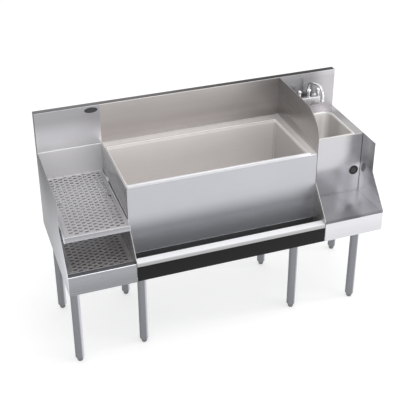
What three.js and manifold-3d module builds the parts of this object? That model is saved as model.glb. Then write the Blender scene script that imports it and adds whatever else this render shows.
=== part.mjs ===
// Underbar cocktail station: drainboard with a bottle tier below it, ice bin with speed rail,
// dump sink with a blender bay in front of it. Millimetres, +Z up.
// Origin: middle of the footprint, on the floor. -Y is the bartender's side, +Y the wall.

import * as THREE from 'three';
import { mergeVertices } from 'three/addons/utils/BufferGeometryUtils.js';
import Module from 'manifold-3d';

const wasm = await Module();
wasm.setup();

// Driving dimensions
const overall = { width: 1524, depth: 609.6, height: 990.6 };
const section = { left: 304.8, right: 304.8 };
const sheet = 1.5;
const seat = 0.3;
const overrun = 5;

const splash = { rise: 200, depth: 34.9, hem: 25.4, leftTail: 37.4 };
const apron = { bottomDrop: 406.4, height: 95.2 };
const side = { kneeDrop: 152.4, slantDrop: 298.4 };
const divider = { thickness: 3, guardTopDrop: 3, guardRadius: 140 };

const bin = {
  curbWidth: 14, curbHeight: 11, leftCurb: 7, rightLedge: 32, backLedge: 58, jacketRise: 61.4,
  floorFoam: 53,
};
const binDrain = { flange: 44, tube: 19, wall: 2, plate: 3, tail: 30, nut: 27, nutHeight: 9 };
const skirtFlange = 12.7;

const rail = {
  capDepth: 44.5, capHeight: 17.2, throat: 82.5, wallSet: 22, rearLap: 2, frontReturn: 25.4,
};
const channel = { frontDepth: 76, frontHeight: 22, rearDepth: 52 };

const deck = {
  drop: 149.2, frontSet: 63.5, lip: 25.4, leftGap: 6.5, rightGap: 2.8, frame: 6, backFrame: 2.5,
  well: 26, returnLap: 8,
};
const perforation = {
  across: 22.7, along: 24, length: 18, width: 9, columns: 11, margin: 14, backMargin: 7.5, rightSet: 5,
};
const fingerHole = { radius: 12, row: 10 };
const deckSupport = { width: 25, height: 20 };
const smallDrain = {
  flange: 20, tube: 12.7, wall: 1.6, plate: 2.5, fromBack: 62, lowerFromBack: 114, tailDrop: 60,
};

const tier = {
  flange: 33, well: 28.8, backFromWall: 90, insertDrop: 6, cheekDrop: 9, backTopDrop: 180,
};

const sink = {
  setback: 365.1, bowlLeft: 58, bowlRight: 57, bowlFront: 11, bowlBack: 71, corner: 45, frontCorner: 8,
  depth: 190, bead: 12, beadHeight: 4,
};
const sinkDrain = {
  flange: 44, plate: 2, body: 38, bore: 34, bodyDepth: 45, taper: 10, outlet: 19, outletBore: 17.5,
  outletLength: 20,
};
const basket = { clearance: 3, wall: 1.5, bottom: 20, flare: 15, knob: 4, knobRise: 6, lipRise: 1 };
const tailpiece = { nut: 24, nutUp: 15, nutDown: 5, drop: 40 };

const shelf = { fall: 8.5, lap: 12 };
const grommet = {
  fromEnd: 36.7, drop: 201, flange: 24, neck: 22, bore: 16.5, plate: 4, lip: 24, lipPlate: 3, cap: 3,
};

const faucet = {
  fromEnd: 160, standOff: 37, axisRise: 63.6, centres: 101.6, bar: 124, barDepth: 24, barHeight: 46,
  chamfer: 5,
};
const shank = { flange: 20, flangePlate: 4, arm: 11, thread: 10, reach: 28, nut: 17, nutHeight: 8 };
const post = { radius: 8, height: 32 };
const valve = { radius: 8.5, height: 24, stem: 4, stemHeight: 11 };
const knob = { radius: 10, skirt: 2, height: 19, dome: 7, crown: 6.5 };
const spout = {
  tube: 6.5, reach: 151, rise: 69.5, collar: 11.5, collarHeight: 12, tubeStart: 5,
};
const aerator = { radius: 9, bore: 5, height: 11 };
// Places along the spout as shares of its reach and of its rise above the tube's start
const spoutShares = [[0, 0], [0, 0.32], [0.04, 0.53], [0.16, 0.68], [0.44, 0.88], [0.68, 1],
  [0.82, 0.98], [0.93, 0.8], [0.99, 0.55], [1, 0.38], [1, 0.24]];

const badge = { width: 63, height: 27, plate: 1.2, fromSeam: 39.8, topDrop: 21.7 };

const leg = { radius: 20.6, wall: 1.5, plug: 20 };
const foot = { height: 22, radius: 13.5, toe: 11, toeHeight: 4, stem: 8, stemLength: 60 };
const legPlace = {
  endFrontSet: 25.6,
  innerFrontSet: 49.6,
  rearSet: 187,
  leftInset: 27,
  innerLeftFront: 31.2,
  innerLeftRear: 44,
  innerRight: 134.5,
  rightFrontInset: 129,
  rightRearInset: 24,
};

const roundSides = 16;
const smallSides = 12;
const nutSides = 6;
const cornerSteps = 4;
const guardSteps = 8;
const spoutSteps = 20;
const spoutSides = 8;
const badgeSides = 24;

// Levels and planes that the pieces share
const left = -overall.width / 2;
const right = overall.width / 2;
const seamLeft = left + section.left;
const seamRight = right - section.right;
const front = -overall.depth / 2;
const back = overall.depth / 2;
const splashFace = back - splash.depth;
const binFace = front + rail.capDepth + rail.throat;
const bayFace = back - sink.setback;
const top = overall.height;
const rim = top - splash.rise;
const apronBottom = rim - apron.bottomDrop;
const apronTop = apronBottom + apron.height;
const knee = rim - side.kneeDrop;
const slantEnd = rim - side.slantDrop;
const deckLevel = rim - deck.drop;
const bodyBack = splashFace - seat;
const leftInner = left + sheet + seat;
const rightInner = right - sheet - seat;
const halfDivider = divider.thickness / 2;

// Finishes
const steel = { color: 0xbfc0c4, roughness: 0.32, metalness: 1 };
const linerSteel = { color: 0xb9b4b1, roughness: 0.38, metalness: 1 };
const galvanised = { color: 0x9a9da0, roughness: 0.55, metalness: 1 };
const chrome = { color: 0xe2e3e6, roughness: 0.08, metalness: 1 };
const blackCoat = { color: 0x2d2d2f, roughness: 0.45, metalness: 0 };
const rubber = { color: 0x1c1c1e, roughness: 0.75, metalness: 0 };
const foam = { color: 0xe6dcb8, roughness: 0.9, metalness: 0 };

// Mesh to solid and back
function welded(geometry) {
  const bare = geometry.index ? geometry.toNonIndexed() : geometry.clone();
  for (const name of Object.keys(bare.attributes)) {
    if (name !== 'position') bare.deleteAttribute(name);
  }
  const merged = mergeVertices(bare);
  const kept = [];
  const { array } = merged.index;
  for (let i = 0; i < array.length; i += 3) {
    const [a, b, c] = [array[i], array[i + 1], array[i + 2]];
    if (a !== b && b !== c && c !== a) kept.push(a, b, c);
  }
  merged.setIndex(kept);
  return merged;
}

function solidOf(geometry) {
  const mesh = welded(geometry);
  return new wasm.Manifold(new wasm.Mesh({
    numProp: 3,
    vertProperties: new Float32Array(mesh.attributes.position.array),
    triVerts: new Uint32Array(mesh.index.array),
  }));
}

function geometryOf(solid) {
  const mesh = solid.getMesh();
  const geometry = new THREE.BufferGeometry();
  const corners = mesh.numProp;
  const positions = new Float32Array((mesh.vertProperties.length / corners) * 3);
  for (let i = 0; i < positions.length / 3; i += 1) {
    for (let k = 0; k < 3; k += 1) positions[3 * i + k] = mesh.vertProperties[corners * i + k];
  }
  geometry.setAttribute('position', new THREE.BufferAttribute(positions, 3));
  geometry.setIndex(Array.from(mesh.triVerts));
  return geometry;
}

function joined(...geometries) {
  return geometryOf(geometries.map(solidOf).reduce((whole, next) => whole.add(next)));
}

function carved(geometry, ...tools) {
  return geometryOf(tools.map(solidOf).reduce((whole, tool) => whole.subtract(tool), solidOf(geometry)));
}

// Basic forms
function block(x0, x1, y0, y1, z0, z1) {
  const geometry = new THREE.BoxGeometry(x1 - x0, y1 - y0, z1 - z0);
  return geometry.translate((x0 + x1) / 2, (y0 + y1) / 2, (z0 + z1) / 2);
}

function outline(points) {
  return new THREE.Shape(points.map(([u, v]) => new THREE.Vector2(u, v)));
}

function alongX(points, x0, x1) {
  const geometry = new THREE.ExtrudeGeometry(outline(points), { depth: x1 - x0, bevelEnabled: false });
  const turn = new THREE.Matrix4().makeBasis(
    new THREE.Vector3(0, 1, 0),
    new THREE.Vector3(0, 0, 1),
    new THREE.Vector3(1, 0, 0),
  );
  return geometry.applyMatrix4(turn).translate(x0, 0, 0);
}

function alongY(points, y0, y1) {
  const geometry = new THREE.ExtrudeGeometry(outline(points), { depth: y1 - y0, bevelEnabled: false });
  return geometry.rotateX(Math.PI / 2).translate(0, y1, 0);
}

function alongZ(shape, z0, z1) {
  const geometry = new THREE.ExtrudeGeometry(shape, { depth: z1 - z0, bevelEnabled: false });
  return geometry.translate(0, 0, z0);
}

// Folded sheet: the points are one face of the sheet, and its metal lies to the right of the way they run
function folded(points, thickness = sheet) {
  const sides = points.slice(1).map(([u, v], i) => {
    const [du, dv] = [u - points[i][0], v - points[i][1]];
    const length = Math.hypot(du, dv);
    return [dv / length, -du / length];
  });
  const inner = points.map(([u, v], i) => {
    const before = sides[Math.max(i - 1, 0)];
    const after = sides[Math.min(i, sides.length - 1)];
    const share = 1 / (1 + before[0] * after[0] + before[1] * after[1]);
    return [u + thickness * share * (before[0] + after[0]), v + thickness * share * (before[1] + after[1])];
  });
  return [...points, ...inner.reverse()];
}

function ringPoints(x, y, radius, sides) {
  return Array.from({ length: sides }, (_, i) => {
    const angle = (2 * Math.PI * i) / sides;
    return [x + radius * Math.cos(angle), y + radius * Math.sin(angle)];
  });
}

// Upright rod or hole; its corners line up with those of a turned piece with as many sides
function rod(x, y, radius, z0, z1, sides = roundSides) {
  return alongZ(outline(ringPoints(x, y, radius, sides)), z0, z1);
}

function rodAlongY(x, z, radius, y0, y1, sides = roundSides) {
  return alongY(ringPoints(x, z, radius, sides), y0, y1);
}

function turned(profile, x, y, sides = roundSides) {
  const points = profile.map(([radius, height]) => new THREE.Vector2(radius, height));
  return new THREE.LatheGeometry(points, sides).rotateX(Math.PI / 2).translate(x, y, 0);
}

function turnedAlongY(profile, x, z, sides = roundSides) {
  const points = profile.map(([radius, along]) => new THREE.Vector2(radius, along));
  return new THREE.LatheGeometry(points, sides).translate(x, 0, z);
}

// Rectangle whose two back corners have one radius and whose two front corners have another
function roundedRectangle(x0, x1, y0, y1, rear, near) {
  const corners = [[x1 - rear, y1 - rear, rear], [x0 + rear, y1 - rear, rear], [x0 + near, y0 + near, near],
    [x1 - near, y0 + near, near]];
  return outline(corners.flatMap(([x, y, radius], quarter) => (
    Array.from({ length: cornerSteps + 1 }, (_, i) => {
      const angle = (Math.PI / 2) * (quarter + i / cornerSteps);
      return [x + radius * Math.cos(angle), y + radius * Math.sin(angle)];
    })
  )));
}

const station = new THREE.Group();

function piece(name, geometry, finish) {
  const material = new THREE.MeshStandardMaterial({ ...finish, flatShading: true });
  const mesh = new THREE.Mesh(welded(geometry), material);
  mesh.name = name;
  station.add(mesh);
  return mesh;
}

// Backsplash: three folded sheets, one for each section, with a top return and a rear hem
function backsplash(x0, x1, foot) {
  const line = [[splashFace, foot], [splashFace, top], [back, top], [back, top - splash.hem]];
  return alongX(folded(line), x0, x1);
}

const splashSeamLeft = seamLeft + halfDivider;
const splashSeamRight = seamRight + halfDivider;
const faucetX = right - faucet.fromEnd;
const faucetZ = rim + faucet.axisRise;
const inletX = [faucetX - faucet.centres / 2, faucetX + faucet.centres / 2];

piece('backsplash_left', backsplash(leftInner, splashSeamLeft - seat / 2, deckLevel - splash.leftTail),
  steel);
piece('backsplash_centre', backsplash(splashSeamLeft + seat / 2, splashSeamRight - seat / 2, rim), steel);
piece('backsplash_right', carved(
  backsplash(splashSeamRight + seat / 2, rightInner, rim),
  ...inletX.map((x) => rodAlongY(
    x, faucetZ, shank.thread + seat, splashFace - overrun, splashFace + sheet + overrun, smallSides,
  )),
), steel);

// End panels and dividers share one side profile; the end panels also close the backsplash's ends
const sideFront = [[front, apronBottom], [front, slantEnd], [binFace, knee]];

function endPanel(x0) {
  const rear = [[binFace, rim], [splashFace, rim], [splashFace, top], [back, top], [back, apronBottom]];
  return alongX([...sideFront, ...rear].reverse(), x0, x0 + sheet);
}

piece('end_panel_left', endPanel(left), steel);
piece('end_panel_right', endPanel(right - sheet), steel);

// The right divider rises as a splash guard with one large rounded corner
const frontChannelFace = front + sheet + seat;
const channelBottom = apronBottom + sheet + seat;
const frontChannelTop = channelBottom + channel.frontHeight;
const jacketBottom = apronBottom + bin.jacketRise;
const rearLegY = back - legPlace.rearSet;
const rearChannelFace = rearLegY - leg.radius - seat - sheet;
const rearChannelTop = jacketBottom - seat;

function dividerPanel(x, upper) {
  const panel = alongX([...sideFront, ...upper, [bodyBack, apronBottom]].reverse(), x - halfDivider,
    x + halfDivider);
  const reach = divider.thickness + overrun;
  return carved(
    panel,
    block(x - reach, x + reach, frontChannelFace - overrun, frontChannelFace + channel.frontDepth + seat,
      apronBottom - overrun, frontChannelTop + seat),
    block(x - reach, x + reach, rearChannelFace - seat, rearChannelFace + channel.rearDepth + seat,
      apronBottom - overrun, rearChannelTop + seat),
  );
}

function guardOutline() {
  const guardTop = top - divider.guardTopDrop;
  const radius = divider.guardRadius;
  const arc = Array.from({ length: guardSteps + 1 }, (_, i) => {
    const angle = (Math.PI / 2) * (i / guardSteps);
    return [binFace + radius - radius * Math.cos(angle), guardTop - radius + radius * Math.sin(angle)];
  });
  return [...arc, [bodyBack, guardTop]];
}

piece('divider_left', dividerPanel(seamLeft, [[binFace, rim], [bodyBack, rim]]), steel);
piece('divider_right', dividerPanel(seamRight, guardOutline()), steel);

// Leg channels run the whole width under the dividers, open to the back
const legs = [
  ['front_left', left + legPlace.leftInset, front + legPlace.endFrontSet],
  ['front_inner_left', seamLeft + legPlace.innerLeftFront, front + legPlace.innerFrontSet],
  ['front_inner_right', seamRight - legPlace.innerRight, front + legPlace.innerFrontSet],
  ['front_right', right - legPlace.rightFrontInset, front + legPlace.endFrontSet],
  ['rear_left', left + legPlace.leftInset, rearLegY],
  ['rear_inner_left', seamLeft + legPlace.innerLeftRear, rearLegY],
  ['rear_inner_right', seamRight - legPlace.innerRight, rearLegY],
  ['rear_right', right - legPlace.rightRearInset, rearLegY],
];

function isFront(y) {
  return y < 0;
}

function legChannel(face, depth, bottom, ceiling, places) {
  const line = [[face + depth, bottom], [face, bottom], [face, ceiling], [face + depth, ceiling]];
  return carved(alongX(folded(line), leftInner, rightInner), ...places.map(([, x, y]) => (
    rod(x, y, leg.radius + seat, bottom - overrun, bottom + sheet + overrun, smallSides)
  )));
}

const frontLegs = legs.filter(([, , y]) => isFront(y));
const rearLegs = legs.filter(([, , y]) => !isFront(y));
piece('front_leg_channel', legChannel(
  frontChannelFace, channel.frontDepth, channelBottom, frontChannelTop, frontLegs,
), galvanised);
piece('rear_leg_channel', legChannel(
  rearChannelFace, channel.rearDepth, channelBottom, rearChannelTop, rearLegs,
), galvanised);

// Legs: tubes with a threaded plug at the lower end, and bullet feet that screw up and down in it
function legTube(x, y) {
  const low = foot.height + seat;
  const high = (isFront(y) ? frontChannelTop : rearChannelTop) - sheet - seat;
  const bore = leg.radius - leg.wall;
  const thread = foot.stem + seat;
  return turned([[leg.radius, low], [leg.radius, high], [bore, high], [bore, low + leg.plug],
    [thread, low + leg.plug], [thread, low], [leg.radius, low]], x, y, smallSides);
}

function bulletFoot(x, y) {
  const high = foot.height + foot.stemLength;
  return turned([[0, 0], [foot.toe, 0], [foot.radius, foot.toeHeight], [foot.radius, foot.height],
    [foot.stem, foot.height], [foot.stem, high], [0, high]], x, y, smallSides);
}

for (const [name, x, y] of legs) {
  piece(`leg_${name}`, legTube(x, y), steel);
  piece(`foot_${name}`, bulletFoot(x, y), galvanised);
}

// Ice bin: welded liner with a raised curb round the opening, foam, and a jacket of skirt and back
const binLeft = seamLeft + halfDivider + seat;
const binRight = seamRight - halfDivider - seat;
const tub = {
  x0: binLeft + bin.leftCurb,
  x1: binRight - bin.rightLedge - bin.curbWidth,
  y0: binFace + bin.curbWidth,
  y1: bodyBack - bin.backLedge - bin.curbWidth,
  floor: jacketBottom + bin.floorFoam,
};
const binDrainX = (tub.x0 + tub.x1) / 2;
const binDrainY = (tub.y0 + tub.y1) / 2;
const underRim = rim - sheet;

piece('bin_liner', carved(
  joined(
    block(binLeft, binRight, binFace, bodyBack, underRim, rim),
    block(binLeft, tub.x1 + bin.curbWidth, binFace, tub.y1 + bin.curbWidth, underRim, rim + bin.curbHeight),
    block(tub.x0 - sheet, tub.x1 + sheet, tub.y0 - sheet, tub.y1 + sheet, tub.floor - sheet,
      underRim + sheet / 2),
  ),
  block(tub.x0, tub.x1, tub.y0, tub.y1, tub.floor, rim + bin.curbHeight + overrun),
  rod(binDrainX, binDrainY, binDrain.tube + seat, tub.floor - sheet - overrun, tub.floor + overrun),
), linerSteel);

const skirtTop = underRim - seat;
piece('bin_skirt', alongX(
  folded([[binFace + skirtFlange, jacketBottom], [binFace, jacketBottom], [binFace, skirtTop]]),
  binLeft, binRight,
), steel);

const jacketFloor = jacketBottom + sheet + seat;
const jacketFront = binFace + sheet + seat;
piece('bin_jacket', carved(
  alongX(folded([[bodyBack, skirtTop], [bodyBack, jacketFloor], [jacketFront, jacketFloor]]), binLeft,
    binRight),
  rod(binDrainX, binDrainY, binDrain.tube + seat, jacketFloor - overrun, jacketFloor + sheet + overrun),
), galvanised);

piece('bin_insulation', carved(
  block(binLeft, binRight, jacketFront, bodyBack - sheet - seat, jacketFloor + sheet + seat, skirtTop),
  block(tub.x0 - sheet - seat, tub.x1 + sheet + seat, tub.y0 - sheet - seat, tub.y1 + sheet + seat,
    tub.floor - sheet - seat, skirtTop + overrun),
  rod(binDrainX, binDrainY, binDrain.tube + seat, jacketFloor - overrun, tub.floor + overrun),
), foam);

const drainTail = jacketBottom - binDrain.tail;
piece('bin_drain', turned([
  [binDrain.tube, drainTail], [binDrain.tube, tub.floor + seat], [binDrain.flange, tub.floor + seat],
  [binDrain.flange, tub.floor + seat + binDrain.plate],
  [binDrain.tube - binDrain.wall, tub.floor + seat + binDrain.plate],
  [binDrain.tube - binDrain.wall, drainTail], [binDrain.tube, drainTail],
], binDrainX, binDrainY), chrome);

piece('bin_drain_nut', carved(
  rod(binDrainX, binDrainY, binDrain.nut, jacketFloor - seat - binDrain.nutHeight, jacketFloor - seat,
    nutSides),
  rod(binDrainX, binDrainY, binDrain.tube + seat, jacketFloor - binDrain.nutHeight - overrun,
    jacketFloor + overrun),
), galvanised);

// Speed rail: black coated trough and front, with a folded stainless cap along the top
const troughFront = front + rail.wallSet;
const troughBack = binFace - seat;
const troughFloor = frontChannelTop + seat;
const capBottom = apronTop - rail.capHeight;
const capBack = front + rail.capDepth;

piece('speed_rail_trough', alongX(
  folded([[troughBack, jacketBottom + rail.rearLap], [troughBack, troughFloor], [troughFront, troughFloor],
    [troughFront, apronTop - sheet - seat]]),
  binLeft, binRight,
), blackCoat);
piece('rail_cap', alongX(
  folded([[front, capBottom], [front, apronTop], [capBack, apronTop], [capBack, capBottom]]),
  binLeft, binRight,
), steel);
piece('rail_front', alongX(
  folded([[front + rail.frontReturn, apronBottom], [front, apronBottom], [front, capBottom - seat]]),
  binLeft, binRight,
), blackCoat);

// Upper drainboard: drip pan with a front lip, and a lift-out perforated insert
const deckLeft = left + deck.leftGap + sheet;
const deckRight = seamLeft - halfDivider - deck.rightGap;
const deckFront = front + deck.frontSet;
const deckBack = bodyBack;
const wellFloor = deckLevel - deck.well;
const deckDrainX = (deckLeft + deckRight) / 2;
const deckDrainY = back - smallDrain.fromBack;
const well = {
  x0: deckLeft + deck.frame, x1: deckRight - deck.frame, y0: deckFront + deck.frame,
  y1: deckBack - deck.backFrame,
};

piece('deck_pan', carved(
  joined(
    block(deckLeft, deckRight, deckFront, deckBack, deckLevel - sheet, deckLevel),
    block(well.x0 - sheet, well.x1 + sheet, well.y0 - sheet, well.y1 + sheet, wellFloor - sheet,
      deckLevel - sheet / 2),
    block(deckLeft, deckRight, deckFront, deckFront + sheet, deckLevel - deck.lip, deckLevel),
    block(deckLeft, deckLeft + sheet, deckFront, binFace - deck.returnLap, deckLevel - deck.lip, deckLevel),
    block(deckRight - sheet, deckRight, deckFront, binFace - deck.returnLap, deckLevel - deck.lip,
      deckLevel),
  ),
  block(well.x0, well.x1, well.y0, well.y1, wellFloor, deckLevel + overrun),
  rod(deckDrainX, deckDrainY, smallDrain.tube + seat, wellFloor - sheet - overrun, wellFloor + overrun,
    smallSides),
), steel);

// Slot across the plate, drawn with six corners
function crossSlot(x, y, z0, z1) {
  const half = perforation.width / 2;
  const tip = perforation.length / 2;
  const straight = tip - half;
  return alongZ(outline([[x + tip, y], [x + straight, y + half], [x - straight, y + half], [x - tip, y],
    [x - straight, y - half], [x + straight, y - half]]), z0, z1);
}

// Perforated insert: a plate with turned-down edges that stands on its pan's floor. Neighbouring columns
// are half a pitch apart, and the upper insert has a round finger hole in each end column.
function insertPlate(area, level, floor, hasFingerHoles) {
  const holes = [];
  const middle = (area.x0 + area.x1) / 2 + perforation.rightSet;
  const half = (perforation.columns - 1) / 2;
  for (let column = 0; column < perforation.columns; column += 1) {
    const atEnd = column === 0 || column === perforation.columns - 1;
    const x = middle + (column - half) * perforation.across;
    const shift = column % 2 ? 0 : perforation.along / 2;
    const last = area.y1 - perforation.backMargin;
    let row = 0;
    for (let y = area.y0 + perforation.margin + shift; y <= last; y += perforation.along) {
      const isFinger = hasFingerHoles && atEnd && row === fingerHole.row;
      const low = level - sheet - overrun;
      const high = level + overrun;
      holes.push(isFinger ? rod(x, y, fingerHole.radius, low, high, smallSides) : crossSlot(x, y, low, high));
      row += 1;
    }
  }
  return carved(
    block(area.x0, area.x1, area.y0, area.y1, floor + seat, level),
    block(area.x0 + sheet, area.x1 - sheet, area.y0 + sheet, area.y1 - sheet, floor - overrun,
      level - sheet),
    ...holes,
  );
}

const deckInsert = { x0: well.x0 + seat, x1: well.x1 - seat, y0: well.y0 + seat, y1: well.y1 - seat };
piece('deck_insert', insertPlate(deckInsert, deckLevel, wellFloor, true), steel);

function drainFitting(x, y, floor, low) {
  const bore = smallDrain.tube - smallDrain.wall;
  const face = floor + seat + smallDrain.plate;
  return turned([[smallDrain.tube, low], [smallDrain.tube, floor + seat], [smallDrain.flange, floor + seat],
    [smallDrain.flange, face], [bore, face], [bore, low], [smallDrain.tube, low]], x, y, smallSides);
}

piece('deck_drain', drainFitting(deckDrainX, deckDrainY, wellFloor, apronBottom + smallDrain.tailDrop),
  chrome);

// Lower bottle tier: apron, front flange, pan and back in one folded sheet with cheeks, and its insert
const pan = {
  x0: leftInner, x1: seamLeft - halfDivider - seat, floor: apronTop - tier.well,
  y0: front + tier.flange, y1: back - tier.backFromWall,
};
const lowerDrainY = back - smallDrain.lowerFromBack;
const cheekTop = apronTop - tier.cheekDrop;

piece('lower_pan', carved(
  joined(
    alongX(folded([[front, apronBottom], [front, apronTop], [pan.y0, apronTop], [pan.y0, pan.floor],
      [pan.y1, pan.floor], [pan.y1, rim - tier.backTopDrop]]), pan.x0, pan.x1),
    block(pan.x0, pan.x0 + sheet, pan.y0 - sheet / 2, pan.y1 + sheet / 2, pan.floor - sheet, cheekTop),
    block(pan.x1 - sheet, pan.x1, pan.y0 - sheet / 2, pan.y1 + sheet / 2, pan.floor - sheet, cheekTop),
  ),
  rod(deckDrainX, lowerDrainY, smallDrain.tube + seat, pan.floor - sheet - overrun, pan.floor + overrun,
    smallSides),
), steel);

const lowerInsert = {
  x0: pan.x0 + sheet + seat, x1: pan.x1 - sheet - seat, y0: pan.y0 + seat, y1: pan.y1 - seat,
};
piece('lower_insert', insertPlate(lowerInsert, apronTop - tier.insertDrop, pan.floor, false), steel);
piece('lower_drain', drainFitting(deckDrainX, lowerDrainY, pan.floor, apronBottom), chrome);

// Angle brackets carry the pan between the end panel and the divider
const bracketTop = wellFloor - sheet - seat;
const bracketLow = bracketTop - deckSupport.height;
const bracketLeft = leftInner;
const bracketRight = seamLeft - halfDivider - seat;
const bracketFront = binFace + deckSupport.width;
const bracketBack = pan.y1 - deckSupport.width;
piece('deck_bracket_left', alongY(
  folded([[bracketLeft, bracketLow], [bracketLeft, bracketTop],
    [bracketLeft + deckSupport.width, bracketTop]]),
  bracketFront, bracketBack,
), galvanised);
piece('deck_bracket_right', alongY(
  folded([[bracketRight - deckSupport.width, bracketTop], [bracketRight, bracketTop],
    [bracketRight, bracketLow]]),
  bracketFront, bracketBack,
), galvanised);

// Sink section: deck and bay back in one folded sheet, drawn bowl, drain, basket and tailpiece
const sinkLeft = seamRight + halfDivider + seat;
const bowl = {
  x0: seamRight + sink.bowlLeft,
  x1: right - sink.bowlRight,
  y0: bayFace + sink.bowlFront,
  y1: splashFace - sink.bowlBack,
  floor: rim - sink.depth,
};
const bowlX = (bowl.x0 + bowl.x1) / 2;
const bowlY = (bowl.y0 + bowl.y1) / 2;
const shelfBack = apronTop - shelf.fall;
const grommetX = right - grommet.fromEnd;
const grommetZ = rim - grommet.drop;

function bowlOutline(grow) {
  return roundedRectangle(bowl.x0 - grow, bowl.x1 + grow, bowl.y0 - grow, bowl.y1 + grow,
    sink.corner + grow, sink.frontCorner + grow);
}

piece('sink_deck', carved(
  alongX(folded([[bayFace, shelfBack + seat + sheet / 2], [bayFace, rim], [bodyBack, rim]]), sinkLeft,
    rightInner),
  alongZ(bowlOutline(sheet + seat), rim - sheet - overrun, rim + overrun),
  rodAlongY(grommetX, grommetZ, grommet.neck + seat, bayFace - overrun, bayFace + sheet + overrun),
), steel);

piece('sink_bowl', carved(
  joined(
    alongZ(bowlOutline(sheet), bowl.floor - sheet, rim + sink.beadHeight),
    alongZ(roundedRectangle(bowl.x0 - sink.bead, bowl.x1 + sink.bead, bowl.y0 - sink.bowlFront + seat,
      bowl.y1 + sink.bead,
      sink.corner + sink.bead, sink.frontCorner + sink.bead), rim + seat, rim + sink.beadHeight),
  ),
  alongZ(bowlOutline(0), bowl.floor, rim + sink.beadHeight + overrun),
  rod(bowlX, bowlY, sinkDrain.body + seat, bowl.floor - sheet - overrun, bowl.floor + overrun),
), linerSteel);

const drainFace = bowl.floor + seat + sinkDrain.plate;
const taperTop = bowl.floor - sinkDrain.bodyDepth;
const taperEnd = taperTop - sinkDrain.taper;
const outletEnd = taperEnd - sinkDrain.outletLength;
piece('sink_drain', turned([
  [sinkDrain.outlet, outletEnd], [sinkDrain.outlet, taperEnd], [sinkDrain.body, taperTop],
  [sinkDrain.body, bowl.floor + seat],
  [sinkDrain.flange, bowl.floor + seat], [sinkDrain.flange, drainFace], [sinkDrain.bore, drainFace],
  [sinkDrain.bore, taperTop], [sinkDrain.outletBore, taperEnd], [sinkDrain.outletBore, outletEnd],
  [sinkDrain.outlet, outletEnd],
], bowlX, bowlY), chrome);

// The basket drops on the drain's taper and lifts out by its knob
const basketRadius = sinkDrain.bore - basket.clearance;
const seatShare = (sinkDrain.bore - basket.bottom) / (sinkDrain.bore - sinkDrain.outletBore);
const basketLow = taperTop - seatShare * sinkDrain.taper + 2 * seat;
piece('sink_basket', turned([
  [0, basketLow], [basket.bottom, basketLow], [basketRadius, basketLow + basket.flare],
  [basketRadius, drainFace + basket.lipRise],
  [basketRadius - basket.wall, drainFace + basket.lipRise],
  [basketRadius - basket.wall, basketLow + basket.flare + basket.wall],
  [basket.bottom - basket.wall, basketLow + basket.wall], [basket.knob, basketLow + basket.wall],
  [basket.knob, drainFace + basket.knobRise], [0, drainFace + basket.knobRise],
], bowlX, bowlY), chrome);

const tailEnd = apronBottom - tailpiece.drop;
const nutTop = outletEnd + tailpiece.nutUp;
const nutLow = outletEnd - tailpiece.nutDown;
piece('sink_tailpiece', turned([
  [sinkDrain.outlet, tailEnd], [sinkDrain.outlet, nutLow], [tailpiece.nut, nutLow], [tailpiece.nut, nutTop],
  [sinkDrain.outlet + seat, nutTop], [sinkDrain.outlet + seat, outletEnd - seat],
  [sinkDrain.outletBore, outletEnd - seat],
  [sinkDrain.outletBore, tailEnd], [sinkDrain.outlet, tailEnd],
], bowlX, bowlY), chrome);

// Blender shelf and apron: one sheet that falls slightly to the bay's back
piece('blender_shelf', alongX(
  folded([[front, apronBottom], [front, apronTop], [bayFace, shelfBack], [bayFace + shelf.lap, shelfBack]]),
  sinkLeft, rightInner,
), steel);

// Cord grommet with its cap, snapped into the bay's back
const grommetFront = bayFace - seat;
const grommetRear = bayFace + sheet + seat;
piece('cord_grommet', turnedAlongY([
  [grommet.bore, grommetFront - grommet.plate], [grommet.flange, grommetFront - grommet.plate],
  [grommet.flange, grommetFront],
  [grommet.neck, grommetFront], [grommet.neck, grommetRear], [grommet.lip, grommetRear],
  [grommet.lip, grommetRear + grommet.lipPlate],
  [grommet.bore, grommetRear + grommet.lipPlate], [grommet.bore, grommetFront - grommet.plate],
], grommetX, grommetZ), rubber);
piece('grommet_cap', rodAlongY(grommetX, grommetZ, grommet.bore - seat, grommetFront - grommet.cap,
  grommetFront), rubber);

// Faucet: body with two inlets and a centre post, two valves, domed knobs and a swinging spout
const faucetY = splashFace - faucet.standOff;
const barTop = faucetZ + faucet.barHeight / 2;
const barLow = faucetZ - faucet.barHeight / 2;
const barNear = faucetY - faucet.barDepth / 2;
const barFar = faucetY + faucet.barDepth / 2;
const { chamfer } = faucet;
const barOutline = [
  [barNear + chamfer, barLow], [barFar - chamfer, barLow], [barFar, barLow + chamfer],
  [barFar, barTop - chamfer],
  [barFar - chamfer, barTop], [barNear + chamfer, barTop], [barNear, barTop - chamfer],
  [barNear, barLow + chamfer],
];
const postTop = barTop + post.height;

piece('faucet_body', joined(
  alongX(barOutline, faucetX - faucet.bar / 2, faucetX + faucet.bar / 2),
  rod(faucetX, faucetY, post.radius, faucetZ, postTop),
  ...inletX.flatMap((x) => [
    rodAlongY(x, faucetZ, shank.arm, faucetY, splashFace - seat),
    rodAlongY(x, faucetZ, shank.flange, splashFace - seat - shank.flangePlate, splashFace - seat),
    rodAlongY(x, faucetZ, shank.thread, faucetY, splashFace + shank.reach, smallSides),
  ]),
), chrome);

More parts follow.
